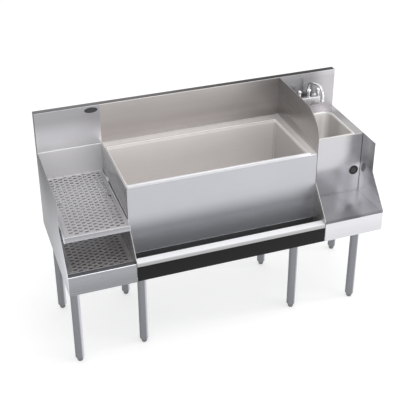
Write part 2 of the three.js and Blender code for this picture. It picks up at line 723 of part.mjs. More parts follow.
const nutFace = splashFace + sheet + seat;
const valveTop = barTop + seat + valve.height;
const knobTop = valveTop + seat + knob.height;
['left', 'right'].forEach((hand, i) => {
  const x = inletX[i];
  piece(`faucet_nut_${hand}`, carved(
    rodAlongY(x, faucetZ, shank.nut, nutFace, nutFace + shank.nutHeight, nutSides),
    rodAlongY(x, faucetZ, shank.thread + seat, nutFace - overrun, nutFace + shank.nutHeight + overrun,
      smallSides),
  ), galvanised);
  piece(`valve_${hand}`, turned([
    [0, barTop + seat], [valve.radius, barTop + seat], [valve.radius, valveTop], [valve.stem, valveTop],
    [valve.stem, valveTop + valve.stemHeight], [0, valveTop + valve.stemHeight],
  ], x, faucetY, smallSides), chrome);
  piece(`handle_${hand}`, turned([
    [0, valveTop + valve.stemHeight + seat], [valve.stem + seat, valveTop + valve.stemHeight + seat],
    [valve.stem + seat, valveTop + seat], [knob.radius - knob.skirt, valveTop + seat],
    [knob.radius, valveTop + seat + knob.skirt], [knob.radius, knobTop - knob.dome],
    [knob.crown, knobTop - knob.skirt],
    [0, knobTop],
  ], x, faucetY, smallSides), chrome);
});

// The spout turns in the post's top; its tube rises, runs forwards over the bowl and ends plumb
const collarLow = postTop + seat;
const tubeStart = collarLow + spout.tubeStart;
const spoutPath = new THREE.CatmullRomCurve3(spoutShares.map(([along, up]) => (
  new THREE.Vector3(faucetX, faucetY - along * spout.reach, tubeStart + up * spout.rise)
)));
const tubeSection = outline(ringPoints(0, 0, spout.tube, spoutSides));
piece('faucet_spout', joined(
  new THREE.ExtrudeGeometry(tubeSection, { steps: spoutSteps, bevelEnabled: false,
    extrudePath: spoutPath }),
  rod(faucetX, faucetY, spout.collar, collarLow, collarLow + spout.collarHeight, smallSides),
), chrome);
const tipY = faucetY - spout.reach;
const [, tipShare] = spoutShares.at(-1);
const tipZ = tubeStart + tipShare * spout.rise - seat;
piece('faucet_aerator', carved(
  rod(faucetX, tipY, aerator.radius, tipZ - aerator.height, tipZ, smallSides),
  rod(faucetX, tipY, aerator.bore, tipZ - aerator.height - overrun, tipZ + overrun, smallSides),
), chrome);

// Blank oval plate near the top of the left backsplash
const badgeX = seamLeft - badge.fromSeam;
const badgeZ = top - badge.topDrop;
piece('badge_blank', alongY(
  ringPoints(0, 0, 1, badgeSides).map(([u, v]) => [badgeX + (u * badge.width) / 2,
    badgeZ + (v * badge.height) / 2]),
  splashFace - seat - badge.plate, splashFace - seat,
), blackCoat);

export default station;
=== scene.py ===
import math

import bmesh
import bpy
from mathutils import Matrix, Vector


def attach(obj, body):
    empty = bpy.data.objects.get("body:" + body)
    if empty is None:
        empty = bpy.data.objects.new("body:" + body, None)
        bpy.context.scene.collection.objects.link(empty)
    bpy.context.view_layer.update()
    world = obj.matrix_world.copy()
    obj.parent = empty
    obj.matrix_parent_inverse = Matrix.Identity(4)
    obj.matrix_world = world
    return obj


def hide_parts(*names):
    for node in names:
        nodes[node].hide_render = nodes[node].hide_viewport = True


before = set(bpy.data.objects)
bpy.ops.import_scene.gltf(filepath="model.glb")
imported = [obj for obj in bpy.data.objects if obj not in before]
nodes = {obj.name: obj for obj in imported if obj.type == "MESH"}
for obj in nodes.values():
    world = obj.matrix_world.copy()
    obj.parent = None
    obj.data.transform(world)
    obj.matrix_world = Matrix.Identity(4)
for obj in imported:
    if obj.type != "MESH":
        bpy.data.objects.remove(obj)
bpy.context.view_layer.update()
scene = bpy.context.scene


# Camera. It stands in front of the unit's left end, above the bar, and looks down on it with a long lens,
# so that the bin, both drainboard tiers and the sink are open to it.
camera_lens = bpy.data.cameras.new("camera")
camera_lens.sensor_width = 36
camera_lens.lens = 77.39
camera_lens.shift_x = -0.015
camera_lens.shift_y = -0.15
camera = bpy.data.objects.new("camera", camera_lens)
camera.location = (-1.208, -3.273, 2.723)
camera.rotation_euler = (math.radians(61.87), 0, math.radians(-19.83))
scene.collection.objects.link(camera)
scene.camera = camera


# Studio. A white room: the camera and the metal see it at full white, and it lights the unit evenly. One
# wide soft lamp hangs over the bar, a second stands in front of the right end and a tall one beside it.
def wired(tree, kind, inputs=(), **settings):
    node = tree.nodes.new(kind)
    for key, value in settings.items():
        setattr(node, key, value)
    for socket, value in inputs:
        if isinstance(value, bpy.types.NodeSocket):
            tree.links.new(value, node.inputs[socket])
        else:
            node.inputs[socket].default_value = value
    return node


def worked(tree, operation, first, second):
    return wired(tree, "ShaderNodeMath", [(0, first), (1, second)], operation=operation).outputs[0]


def seen_by_camera_or_metal(tree):
    """1 where the camera, or a ray mirrored or let through, looks; 0 for the light that reaches the unit."""
    rays = wired(tree, "ShaderNodeLightPath").outputs
    first = worked(tree, "MAXIMUM", rays["Is Camera Ray"], rays["Is Glossy Ray"])
    return worked(tree, "MAXIMUM", first, rays["Is Transmission Ray"])


room = bpy.data.worlds.new("white_room")
room.use_nodes = True
scene.world = room
room_tree = room.node_tree
room_tree.nodes.clear()
white = (1, 1, 1, 1)
room_seen = wired(room_tree, "ShaderNodeBackground", [("Color", white), ("Strength", 1.0)])
room_light = wired(room_tree, "ShaderNodeBackground", [("Color", white), ("Strength", 0.72)])
room_mix = wired(room_tree, "ShaderNodeMixShader", [
    (0, seen_by_camera_or_metal(room_tree)), (1, room_light.outputs[0]), (2, room_seen.outputs[0])])
wired(room_tree, "ShaderNodeOutputWorld", [("Surface", room_mix.outputs[0])])


def soft_lamp(name, place, aim, across, along, watts):
    lamp_data = bpy.data.lights.new(name, "AREA")
    lamp_data.shape = "RECTANGLE"
    lamp_data.size = across
    lamp_data.size_y = along
    lamp_data.energy = watts
    lamp = bpy.data.objects.new(name, lamp_data)
    lamp.location = place
    lamp.rotation_euler = (Vector(aim) - Vector(place)).to_track_quat("-Z", "Y").to_euler()
    lamp.visible_camera = False
    scene.collection.objects.link(lamp)


soft_lamp("lamp_over_bar", (0.3, -0.2, 3.4), (0.1, 0, 0.7), 2.6, 1.6, 26)
soft_lamp("lamp_right_front", (2.6, -2.2, 1.7), (0.5, 0, 0.6), 1.6, 1.6, 14)
soft_lamp("lamp_right_strip", (4.2, -0.9, 1.0), (0, -0.2, 0.5), 0.6, 2.4, 40)


# Floor. A seamless pale sheet that runs out of sight and keeps the soft shadow under the legs.
def nothing_selected():
    bpy.ops.object.select_all(action="DESELECT")


nothing_selected()
bpy.ops.mesh.primitive_plane_add(size=80)
floor = bpy.context.object
floor.name = "studio_floor"
pale_floor = bpy.data.materials.new("pale_floor")
pale_floor.use_nodes = True
floor_tree = pale_floor.node_tree
floor_tree.nodes.clear()
floor_paper = wired(floor_tree, "ShaderNodeBsdfDiffuse", [("Color", (0.62, 0.62, 0.62, 1))])
floor_glow = wired(floor_tree, "ShaderNodeEmission", [
    ("Color", (0.56, 0.56, 0.56, 1)), ("Strength", seen_by_camera_or_metal(floor_tree))])
floor_sum = wired(floor_tree, "ShaderNodeAddShader", [
    (0, floor_paper.outputs[0]), (1, floor_glow.outputs[0])])
wired(floor_tree, "ShaderNodeOutputMaterial", [("Surface", floor_sum.outputs[0])])
floor.data.materials.append(pale_floor)


# End panels. Each is one flat sheet of 1.5 mm stainless, cut to the unit's side: a tall back for the
# splash, the rim, the knee and the sloping lower edge. They are brushed from front to back.
MM = 0.001
unit_end, unit_front, unit_rear = 762, -304.8, 304.8
skirt_face, splash_face = -177.8, 269.9
apron_low, knee_low, knee_high, rim, splash_high = 384.2, 492.2, 638.2, 790.6, 990.6
sheet, gap = 1.5, 0.3


def lofted(name, loops, cap_first=False, cap_last=False, shown=None):
    """A skin through loops of points, in millimetres; shown is the way its first strip faces."""
    nothing_selected()
    bpy.ops.mesh.primitive_circle_add(vertices=len(loops[0]), fill_type="NOTHING")
    made = bpy.context.object
    made.name = name
    made.data.name = name
    bpy.ops.object.mode_set(mode="EDIT")
    bpy.ops.mesh.select_mode(type="VERT")
    bpy.ops.mesh.select_all(action="SELECT")
    skin = bmesh.from_edit_mesh(made.data)
    skin.verts.layers.int.new("place")
    skin.verts.layers.int.new("ring")
    place = skin.verts.layers.int["place"]
    skin.verts.ensure_lookup_table()
    for i, corner in enumerate(skin.verts):
        corner[place] = i
        corner.co = Vector(loops[0][i]) * MM
    bmesh.update_edit_mesh(made.data)
    for k, loop in enumerate(loops[1:], 1):
        bpy.ops.mesh.extrude_region()
        skin = bmesh.from_edit_mesh(made.data)
        place = skin.verts.layers.int["place"]
        ring = skin.verts.layers.int["ring"]
        for corner in skin.verts:
            if corner.select:
                corner[ring] = k
                corner.co = Vector(loop[corner[place]]) * MM
        bmesh.update_edit_mesh(made.data)
    for k in ([0] if cap_first else []) + ([len(loops) - 1] if cap_last else []):
        bpy.ops.mesh.select_all(action="DESELECT")
        skin = bmesh.from_edit_mesh(made.data)
        ring = skin.verts.layers.int["ring"]
        for corner in skin.verts:
            corner.select = corner[ring] == k
        skin.select_flush_mode()
        bmesh.update_edit_mesh(made.data)
        bpy.ops.mesh.edge_face_add()
    bpy.ops.mesh.select_all(action="SELECT")
    bpy.ops.mesh.remove_doubles(threshold=0.00001)
    bpy.ops.mesh.normals_make_consistent(inside=False)
    if shown:
        skin = bmesh.from_edit_mesh(made.data)
        ring = skin.verts.layers.int["ring"]
        strip = [f for f in skin.faces if all(v[ring] <= 1 for v in f.verts)]
        if sum((f.normal * f.calc_area() for f in strip), Vector()).dot(Vector(shown)) < 0:
            bpy.ops.mesh.select_all(action="SELECT")
            bpy.ops.mesh.flip_normals()
    bpy.ops.object.mode_set(mode="OBJECT")
    for layer in ("place", "ring"):
        made.data.attributes.remove(made.data.attributes[layer])
    return made


def solid(name, loops):
    """A skin through loops of points, closed at both ends."""
    return lofted(name, loops, cap_first=True, cap_last=True)


def picked(made):
    nothing_selected()
    made.select_set(True)
    bpy.context.view_layer.objects.active = made


def applied(made, kind, **settings):
    picked(made)
    modifier = made.modifiers.new(kind.lower(), kind)
    for key, value in settings.items():
        setattr(modifier, key, value)
    bpy.ops.object.modifier_apply(modifier=modifier.name)
    return made


def eased(made, width, segments=2, angle=38):
    """Rounds every edge sharper than the angle."""
    return applied(made, "BEVEL", width=width * MM, segments=segments, limit_method="ANGLE",
                   angle_limit=math.radians(angle), use_clamp_overlap=True, miter_outer="MITER_ARC")


def plate(name, outline, x0, x1, edge=0.35):
    """Flat stock cut to an outline of (y, z) points, from x0 to x1, with eased edges."""
    made = solid(name, [[(x, y, z) for y, z in outline] for x in (x0, x1)])
    return eased(made, edge) if edge else made


def ranged(tree, value, start, end, first, last, **settings):
    """Maps a value that runs from start to end onto first to last."""
    return wired(tree, "ShaderNodeMapRange", [
        (0, value), (1, start), (2, end), (3, first), (4, last)], **settings).outputs[0]


def noise(tree, spot, scale, detail, **more):
    inputs = [("Vector", spot), ("Scale", scale), ("Detail", detail), *more.items()]
    return wired(tree, "ShaderNodeTexNoise", inputs).outputs["Fac"]


def new_finish(name, **inputs):
    """A material with its tree, its shader and the place on the piece that its pattern reads."""
    finish = bpy.data.materials.new(name)
    finish.use_nodes = True
    tree = finish.node_tree
    shader = tree.nodes["Principled BSDF"]
    for socket, value in inputs.items():
        shader.inputs[socket.replace("_", " ")].default_value = value
    return finish, tree, shader, wired(tree, "ShaderNodeTexCoord").outputs["Object"]


def coloured(tree, shader, colour, tone):
    tint = wired(tree, "ShaderNodeVectorMath", [(0, colour), (3, tone)], operation="SCALE")
    tree.links.new(tint.outputs[0], shader.inputs["Base Color"])


def embossed(tree, shader, height, strength):
    relief = wired(tree, "ShaderNodeBump", [("Strength", strength), ("Distance", 0.0002), ("Height", height)])
    tree.links.new(relief.outputs[0], shader.inputs["Normal"])


def toned(tree, axes, tone):
    """A tone is a number, or an axis, two places on it in millimetres and the tone at each."""
    if not isinstance(tone, tuple):
        return tone
    axis, start, end, first, last = tone
    return ranged(tree, axes.outputs[axis], start * MM, end * MM, toned(tree, axes, first),
                  toned(tree, axes, last), interpolation_type="SMOOTHSTEP")


def brushed_steel(name, colour, grain="X", roughness=0.3, streaks=0.035, painted_shading=(), metallic=0.8, graze=0.85):
    """Satin stainless with fine random streaks; its tone ramps paint light and shade into its colour, lighter
    or darker in places. graze is its tint at a flat angle.
    """
    metal, tree, shader, spot = new_finish(name, Metallic=metallic, Specular_Tint=(graze, graze, graze, 1))
    stretch = {"X": (2.5, 520, 520), "Y": (520, 2.5, 520), "Z": (520, 520, 2.5)}[grain]
    lines = wired(tree, "ShaderNodeMapping", [("Vector", spot), ("Scale", stretch)])
    grit = noise(tree, lines.outputs[0], 1.0, 3.0, Roughness=0.6)
    cloud = noise(tree, spot, 4.5, 2.0)
    tone = worked(tree, "MULTIPLY", ranged(tree, grit, 0.25, 0.75, 1 - streaks, 1 + streaks),
                  ranged(tree, cloud, 0.3, 0.7, 0.985, 1.015))
    axes = wired(tree, "ShaderNodeSeparateXYZ", [(0, spot)])
    for place in painted_shading:
        tone = worked(tree, "MULTIPLY", tone, toned(tree, axes, place))
    coloured(tree, shader, colour, tone)
    tree.links.new(ranged(tree, grit, 0.2, 0.8, roughness - 0.03, roughness + 0.04),
                   shader.inputs["Roughness"])
    embossed(tree, shader, grit, 0.12)
    return metal


def fitted(made, body, slot, finish, *stands_for, smooth=35):
    """Gives a piece its finish and its place in the frame."""
    picked(made)
    bpy.ops.object.shade_smooth_by_angle(angle=math.radians(smooth))
    made.data.materials.clear()
    made.data.materials.append(finish)
    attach(made, body)
    if stands_for:
        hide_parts(*stands_for)
    return made


knee = [(unit_front, knee_low), (skirt_face, knee_high)]
end_outline = [(unit_front, apron_low), *knee, (skirt_face, rim), (splash_face, rim),
               (splash_face, splash_high), (unit_rear, splash_high), (unit_rear, apron_low)]
# The left end is painted lighter at the front and low down, and darker towards the back and the top: painted
# reflection and shade.
left_end_steel = brushed_steel("left_end_steel", (0.55, 0.555, 0.585), "Y", 0.3, graze=0.5, painted_shading=[
    (1, -290, 200, 1.5, 0.74), (2, 430, 850, 1.15, 0.47)])
# On its inner face the right end is painted lighter low down and darker above the knee: painted shade.
right_end_steel = brushed_steel("right_end_steel", (0.72, 0.71, 0.73), "Y", 0.17, painted_shading=[
    (0, 760.8, 761.6, (2, 600, 650, 1.3, 0.74), 1.0)])
fitted(plate("end_sheet_left", end_outline, -unit_end, sheet - unit_end), "station", "satin_steel",
       left_end_steel, "end_panel_left")
end_right = fitted(plate("end_sheet_right", end_outline, unit_end - sheet, unit_end), "station",
                   "satin_steel", right_end_steel, "end_panel_right")


def second_finish(made, finish, chosen):
    """Gives the faces that the test picks another finish."""
    made.data.materials.append(finish)
    for face in made.data.polygons:
        if chosen(face):
            face.material_index = len(made.data.materials) - 1


# A darker copy of the steel for the faces turned to the right, where the lamps stand: painted shade.
outer_painted_shade_steel = brushed_steel("outer_painted_shade_steel", (0.38, 0.38, 0.395), "Y", 0.34)
second_finish(end_right, outer_painted_shade_steel, lambda face: face.normal.x > 0.5)


# Dividers. Two 3 mm walls part the sections; the right one rises beside the bin as a splash guard with one
# large rounded corner. Both are notched where the leg channels pass under them.
divider_inside, divider_outside, divider_rear = 455.7, 458.7, splash_face - gap
guard_top, guard_radius = 987.6, 140
rear_notch, rear_notch_front, rear_notch_top = 147.7, 95.1, 445.6
front_notch, front_notch_top = -226.7, 408.3
guard_arc = [
    (skirt_face + guard_radius * (1 - math.cos(math.radians(a))),
     guard_top - guard_radius * (1 - math.sin(math.radians(a)))) for a in range(0, 91, 5)]
notched_foot = [(divider_rear, apron_low), (rear_notch, apron_low), (rear_notch, rear_notch_top),
                (rear_notch_front, rear_notch_top), (rear_notch_front, apron_low),
                (front_notch, apron_low), (front_notch, front_notch_top), (unit_front, front_notch_top)]
divider_steel = brushed_steel("divider_steel", (0.6, 0.595, 0.6), "Y", 0.26)
# The guard is painted darker towards the back and towards its top: painted shade.
guard_steel = brushed_steel("guard_steel", (0.5, 0.485, 0.48), "Y", 0.28, painted_shading=[
    (1, -100, 200, 1.05, 0.85), (2, 840, 960, 1.0, 0.68)])
wall_left = fitted(plate("divider_wall_left", notched_foot + knee + [
    (skirt_face, rim), (divider_rear, rim)], -divider_outside, -divider_inside, edge=0.7), "station",
    "satin_steel", divider_steel, "divider_left")
guard = fitted(plate("splash_guard_right", notched_foot + knee + guard_arc + [(divider_rear, guard_top)],
                     divider_inside, divider_outside, edge=0.7), "station", "satin_steel", guard_steel,
               "divider_right")
# The front edges of both walls get a dark copy of the steel: painted shade that hides their highlight.
painted_shade_edge = brushed_steel("painted_shade_edge_steel", (0.16, 0.155, 0.155), "Z", 0.4, metallic=0.5, graze=0.3)
for panel in (wall_left, guard):
    second_finish(panel, painted_shade_edge, lambda face: face.normal.y < -0.78)
# The guard's right-hand face gets the same darker copy: painted shade.
second_finish(guard, outer_painted_shade_steel, lambda face: face.normal.x > 0.7)


# Backsplash. Three sheets folded over at the top into a box edge with a rear hem, butted at the dividers.
# The left one carries on down to the drainboard, with a lap line at rim height.
def folded_line(line, bend, thickness=sheet, steps=4):
    """Closed outline of a sheet bent along a line of points; its metal lies to the right of the line."""
    def unit(a, b):
        run = Vector((b[0] - a[0], b[1] - a[1]))
        return run.normalized()

    first = unit(line[0], line[1])
    face = [Vector(line[0])]
    rear = [Vector(line[0]) + Vector((first.y, -first.x)) * thickness]
    for before, corner, after in zip(line, line[1:], line[2:]):
        a, b = unit(before, corner), unit(corner, after)
        turn = math.atan2(a.x * b.y - a.y * b.x, a.dot(b))
        side = 1 if turn > 0 else -1
        radius = bend if side > 0 else bend + thickness
        normal = Vector((-a.y, a.x))
        centre = Vector(corner) - a * radius * math.tan(abs(turn) / 2) + normal * side * radius
        for k in range(steps + 1):
            spoke = Matrix.Rotation(turn * k / steps, 2) @ (normal * -side)
            face.append(centre + spoke * radius)
            rear.append(centre + spoke * (radius + side * thickness))
    last = unit(line[-2], line[-1])
    face.append(Vector(line[-1]))
    rear.append(Vector(line[-1]) + Vector((last.y, -last.x)) * thickness)
    return [tuple(p) for p in face + rear[::-1]]


def sheet_along_x(name, line, x0, x1, bend=2.0):
    return plate(name, folded_line(line, bend), x0, x1, edge=0)


def boolean(made, tool, operation="DIFFERENCE"):
    applied(made, "BOOLEAN", object=tool, operation=operation, solver="EXACT")
    bpy.data.objects.remove(tool, do_unlink=True)
    return made


def ring(x, y, z, radius, sides, axis="Z"):
    """Points round a circle square to the Z or the Y axis."""
    turns = [2 * math.pi * i / sides for i in range(sides)]
    if axis == "Y":
        return [(x + radius * math.cos(t), y, z + radius * math.sin(t)) for t in turns]
    return [(x + radius * math.cos(t), y + radius * math.sin(t), z) for t in turns]


splash_hem, splash_foot, seam = 25.4, 604, 0.15
lap_depth, lap_flat, lap_reach = 1.2, 1.2, 3
left_seam, right_seam, inner_end = -divider_inside, divider_outside, unit_end - sheet - gap
splash_lap = [(splash_face, splash_foot), (splash_face, rim - lap_reach),
              (splash_face + lap_depth, rim - lap_flat), (splash_face + lap_depth, rim + lap_flat),
              (splash_face, rim + lap_reach)]
splash_top = [(splash_face, splash_high), (unit_rear, splash_high), (unit_rear, splash_high - splash_hem)]
# The left splash is painted lighter low down and darker towards the top, and darker still on its folded top
# and hem: painted reflection and shade.
splash_left_steel = brushed_steel("splash_left_steel", (0.62, 0.615, 0.64), "X", 0.3, painted_shading=[
    (2, 800, 950, 1.72, 0.66), (1, 271.6, 275, 1, 0.4)])
# The centre splash is painted darker just above the rim, more so to the right, darker towards its top and its
# right end, and nearly black on its folded top and hem: painted shade and reflection.
splash_steel = brushed_steel("splash_steel", (0.6, 0.57, 0.56), "X", 0.32, painted_shading=[
    (2, 800, 850, (0, -200, 350, 0.76, 0.62), 1.0), (2, 880, 970, 1.0, 0.82), (0, 100, 440, 1.0, 0.75),
    (1, 271.6, 275, 1, (0, -450, 450, 0.3, 0.06))])
# The right splash is painted darker from the guard to about the right tap, lighter in a strip just under its
# top edge, and nearly black on its folded top and hem: painted shade and a painted highlight.
splash_right_steel = brushed_steel("splash_right_steel", (0.52, 0.51, 0.53), "X", 0.32, painted_shading=[
    (0, 620, 720, (0, 520, 580, 0.6, 0.56), 0.98), (2, 962, 975, 1, 1.12), (1, 271.6, 275, 1, 0.06)])
splash_left = fitted(sheet_along_x("splash_sheet_left", splash_lap + splash_top, -inner_end,
                                   left_seam - seam, bend=1.2), "station", "satin_steel",
                     splash_left_steel, "backsplash_left")
splash_centre = fitted(sheet_along_x("splash_sheet_centre", [(splash_face, rim)] + splash_top,
                                     left_seam + seam, right_seam - seam), "station", "satin_steel",
                       splash_steel, "backsplash_centre")
splash_right = sheet_along_x("splash_sheet_right", [(splash_face, rim)] + splash_top, right_seam + seam,
                             inner_end)
faucet_x, tap_gap, shank_z, shank_radius, overrun = 602, 101.6, 854.2, 10, 10
taps = (faucet_x - tap_gap / 2, faucet_x + tap_gap / 2)
for tap_x in taps:
    boolean(splash_right, solid("shank_hole", [
        ring(tap_x, y, shank_z, shank_radius + gap, 24, "Y")
        for y in (splash_face - overrun, splash_face + overrun)]))
fitted(splash_right, "station", "satin_steel", splash_right_steel, "backsplash_right")
rear_steel = brushed_steel("rear_steel", (0.4, 0.4, 0.415), "X", 0.36)
for splash in (splash_left, splash_centre, splash_right):
    second_finish(splash, rear_steel, lambda face: face.normal.y > 0.5)


# Oval plate. A small plate with a dark coat, fixed flat on the left backsplash close to its top. Its bare
# field lies a little below a rounded rim.
def oval(x, z, across, up, y, sides=48):
    return [(x + across * math.cos(2 * math.pi * i / sides), y, z + up * math.sin(2 * math.pi * i / sides))
            for i in range(sides)]


def dark_coat(name, colour, roughness, speckle=0.12, grain=900.0, shine=0.5):
    """A coat or a moulding, finely pebbled and a little uneven in tone."""
    coat, tree, shader, spot = new_finish(name, Specular_IOR_Level=shine)
    grit = noise(tree, spot, grain, 2.0)
    cloud = noise(tree, spot, 7.0, 2.0)
    both = worked(tree, "ADD", grit, cloud)
    coloured(tree, shader, colour, ranged(tree, both, 0.6, 1.4, 1 - speckle, 1 + speckle))
    tree.links.new(ranged(tree, cloud, 0.3, 0.7, roughness - 0.04, roughness + 0.04),
                   shader.inputs["Roughness"])
    embossed(tree, shader, grit, 0.15)
    return coat


oval_x, oval_z, oval_across, oval_up = -497.0, 968.9, 31.5, 13.5
oval_loops = [oval(oval_x, oval_z, oval_across - inset, oval_up - inset, splash_face - out)
              for inset, out in ((0, gap), (0, 1.2), (0.5, 1.5), (1.6, 1.5), (2.0, 1.1))]
dark_plate = dark_coat("dark_plate", (0.055, 0.057, 0.06), 0.34)
fitted(solid("oval_plate", oval_loops), "station", "black_coat", dark_plate, "badge_blank")


# Ice bin liner. One welded tub with small floor and corner radii; its edge rises as a curb, rolls over and
# runs out as a flat ledge to the right and to the back. The bin drain sits in the middle of the floor.
def rounded(x0, x1, y0, y1, radius, z, steps=5, breaks=(), near=None):
    """Points round a rectangle with rounded corners, which may be tighter in front; breaks are more points
    on its left and right sides."""
    points = []
    near = radius if near is None else near
    for quarter, (cx, cy, r) in enumerate([
            (x1 - radius, y1 - radius, radius), (x0 + radius, y1 - radius, radius),
            (x0 + near, y0 + near, near), (x1 - near, y0 + near, near)]):
        for k in range(steps + 1):
            turn = math.pi / 2 * (quarter + k / steps)
            points.append((cx + r * math.cos(turn), cy + r * math.sin(turn), z))
        if quarter == 1:
            points += [(x0, y, z) for y in sorted(breaks, reverse=True)]
        if quarter == 3:
            points += [(x1, y, z) for y in sorted(breaks)]
    return points


def grown_box(box, by):
    x0, x1, y0, y1 = box
    return x0 - by, x1 + by, y0 - by, y1 + by


def grown(box, by, radius, z, near=None, **more):
    """The loop round a box grown on all sides, with its corners to match."""
    near = None if near is None else max(near + by, 0.3)
    return rounded(*grown_box(box, by), max(radius + by, 0.3), z, near=near, **more)


def hole_round(x, y, radius, loop, z):
    """A circle with one point towards each point of a loop."""
    points = []
    for px, py, _ in loop:
        angle = math.atan2(py - y, px - x)
        points.append((x + radius * math.cos(angle), y + radius * math.sin(angle), z))
    return points


tub = (-448.4, 409.4, -163.8, 197.6)
tub_x, tub_y = (tub[0] + tub[1]) / 2, (tub[2] + tub[3]) / 2
tub_floor, curb_top, tub_corner, bin_hole = 498.6, 801.6, 7.0, 19.6
curb_left, curb_wide, ledge_right, ledge_back = 7, 14, 46, 72


def curb_ring(left, right, front, back, z_front, z_back):
    """A loop round the tub, out by other amounts on each side; the ledge sides may be higher."""
    loop = []
    for px, py, _ in rounded(*tub, tub_corner, 0):
        x = px - left if px < tub_x else px + right
        y = py - front if py < tub_y else py + back
        low_side = px < tub[0] + 1 or py < tub[2] + 1
        loop.append((x, y, z_front if low_side else z_back))
    return loop


def curved_foot(loop_at, foot, floor, angles):
    """Loops that curve up from a floor into a wall; loop_at gives the loop at an inset and a height."""
    return [loop_at(-foot * (1 - math.sin(math.radians(a))), floor + foot * (1 - math.cos(math.radians(a))))
            for a in angles]


def walled(made, wall):
    """Gives a skin its thickness, behind the face that is shown."""
    return applied(made, "SOLIDIFY", thickness=wall * MM, offset=-1, use_even_offset=False)


floor_loop = grown(tub, -tub_corner, tub_corner, tub_floor)
liner_loops = [hole_round(tub_x, tub_y, bin_hole, floor_loop, tub_floor), floor_loop]
liner_loops += curved_foot(lambda by, z: grown(tub, by, tub_corner, z), tub_corner, tub_floor,
                           (22.5, 45, 67.5, 90))
liner_loops += [curb_ring(left, right, front, back, curb_top - down, curb_top - down)
                for left, right, front, back, down in (
                    (0, 0, 0, 0, 3), (0.9, 0.9, 0.9, 0.9, 0.9), (3, 3, 3, 3, 0), (5, 11, 11, 11, 0),
                    (6.4, 13.1, 13.1, 13.1, 0.9), (curb_left, curb_wide, curb_wide, curb_wide, 3))]
liner_loops += [curb_ring(curb_left, curb_wide, curb_wide, curb_wide, rim - 0.8, rim + 1.6),
                curb_ring(curb_left, curb_wide + 1.4, curb_wide, curb_wide + 1.4, rim - 1.2, rim),
                curb_ring(curb_left, ledge_right, curb_wide, ledge_back, rim - 1.5, rim)]
liner = walled(lofted("bin_tub", liner_loops, shown=(0, 0, 1)), 1.4)
# The liner is painted lighter on the curb just above the rim, a painted highlight, and darker low on its
# right wall, painted shade.
liner_steel = brushed_steel("liner_steel", (0.82, 0.795, 0.785), "X", 0.38, metallic=0.6, painted_shading=[
    (2, 780, 790, 1.0, (2, 792, 799, 1.2, 0.98)), (0, 396, 409, 1.0, (2, 780, 796, 0.66, 1.0))])
fitted(liner, "station", "liner_steel", liner_steel, "bin_liner")
# The curb's front has a cooler steel, and it is painted lighter towards the right: painted light.
curb_steel = brushed_steel("curb_steel", (0.76, 0.76, 0.785), "X", 0.38, metallic=0.6, painted_shading=[
    (0, 300, 430, 1.0, 1.25)])
second_finish(liner, curb_steel, lambda face: face.center.y < -165 * MM)


# Skirt. The bin's front sheet hangs from the curb, flush with it, and is folded in under the foam. It is the
# largest face of the unit, brushed along its length.
# The skirt is painted darker from about 660 down to about 555 mm, a painted reflection of the dark trough,
# and lighter again below about 530 mm, painted light.
skirt_steel = brushed_steel("skirt_steel", (0.522, 0.53, 0.562), "X", 0.32, painted_shading=[
    (2, 555, 660, 0.62, 1.0), (2, 500, 570, 2.7, 1.0)])
skirt_low, skirt_fold, sheet_over, bin_end = 445.6, 12.7, 1.8, divider_inside - gap
skirt_line = [(skirt_face + skirt_fold, skirt_low), (skirt_face, skirt_low), (skirt_face, rim - sheet_over)]
fitted(sheet_along_x("bin_front_sheet", skirt_line, -bin_end, bin_end, bend=2.5), "station", "satin_steel",
       skirt_steel, "bin_skirt")


# Speed rail. A trough painted dark grey for the shade deep inside it, a black coated front, and over the
# front edge a folded stainless cap, painted near white on its rounded top: a painted highlight, the brightest
# line of the unit.
rail_black = dark_coat("rail_black", (0.008, 0.008, 0.0086), 0.42, shine=0.18)
# Dark grey in the trough: painted shade.
trough_painted_shade = dark_coat("trough_painted_shade", (0.09, 0.09, 0.093), 0.5, shine=0.4)
# Near white and not metallic on the cap's top, darker on its front face: a painted highlight.
cap_painted_highlight = brushed_steel("cap_painted_highlight", (0.98, 0.98, 1.0), "X", 0.36, metallic=0.0, painted_shading=[
    (1, -304.6, -298, 0.6, 1.0)])
apron_top, cap_low, cap_back, front_fold, trough_lap = 479.4, 462.2, -260.3, 25.4, 2
trough_front, trough_back, trough_floor = -282.8, skirt_face - gap, front_notch_top
trough_line = [(trough_back, skirt_low + trough_lap), (trough_back, trough_floor),
               (trough_front, trough_floor), (trough_front, apron_top - sheet_over)]
front_line = [(unit_front + front_fold, apron_low), (unit_front, apron_low), (unit_front, cap_low - gap)]
cap_line = [(unit_front, cap_low), (unit_front, apron_top), (cap_back, apron_top), (cap_back, cap_low)]
fitted(sheet_along_x("rail_trough", trough_line, -bin_end, bin_end, bend=3), "station", "black_coat",
       trough_painted_shade, "speed_rail_trough")
fitted(sheet_along_x("rail_front_sheet", front_line, -bin_end, bin_end, bend=2.5), "station", "black_coat",
       rail_black, "rail_front")
fitted(sheet_along_x("rail_cap_sheet", cap_line, -bin_end, bin_end, bend=4), "station", "satin_steel",
       cap_painted_highlight, "rail_cap")


# Drip pan of the upper drainboard: a drawn well inside a narrow frame, with a front lip that returns a
# little way along both ends. The insert lies in the well, flush with the frame.
pan_box = (-748.0, -467.5, -235.3, 267.1)
pan_x, pan_y = (pan_box[0] + pan_box[1]) / 2, (pan_box[2] + pan_box[3]) / 2
pan_floor, pan_top, pan_corner, pan_drain_y, pan_hole = 615.4, 641.4, 4, 242.8, 13.0
lip_end = (-185.8, -184.0)
frame_wide, frame_rear, frame_edge, lip_drop, end_drop = 6, 2.5, 1.8, 23.6, 1.5


def well_ring(by, z):
    return grown(pan_box, by, pan_corner, z, breaks=lip_end)


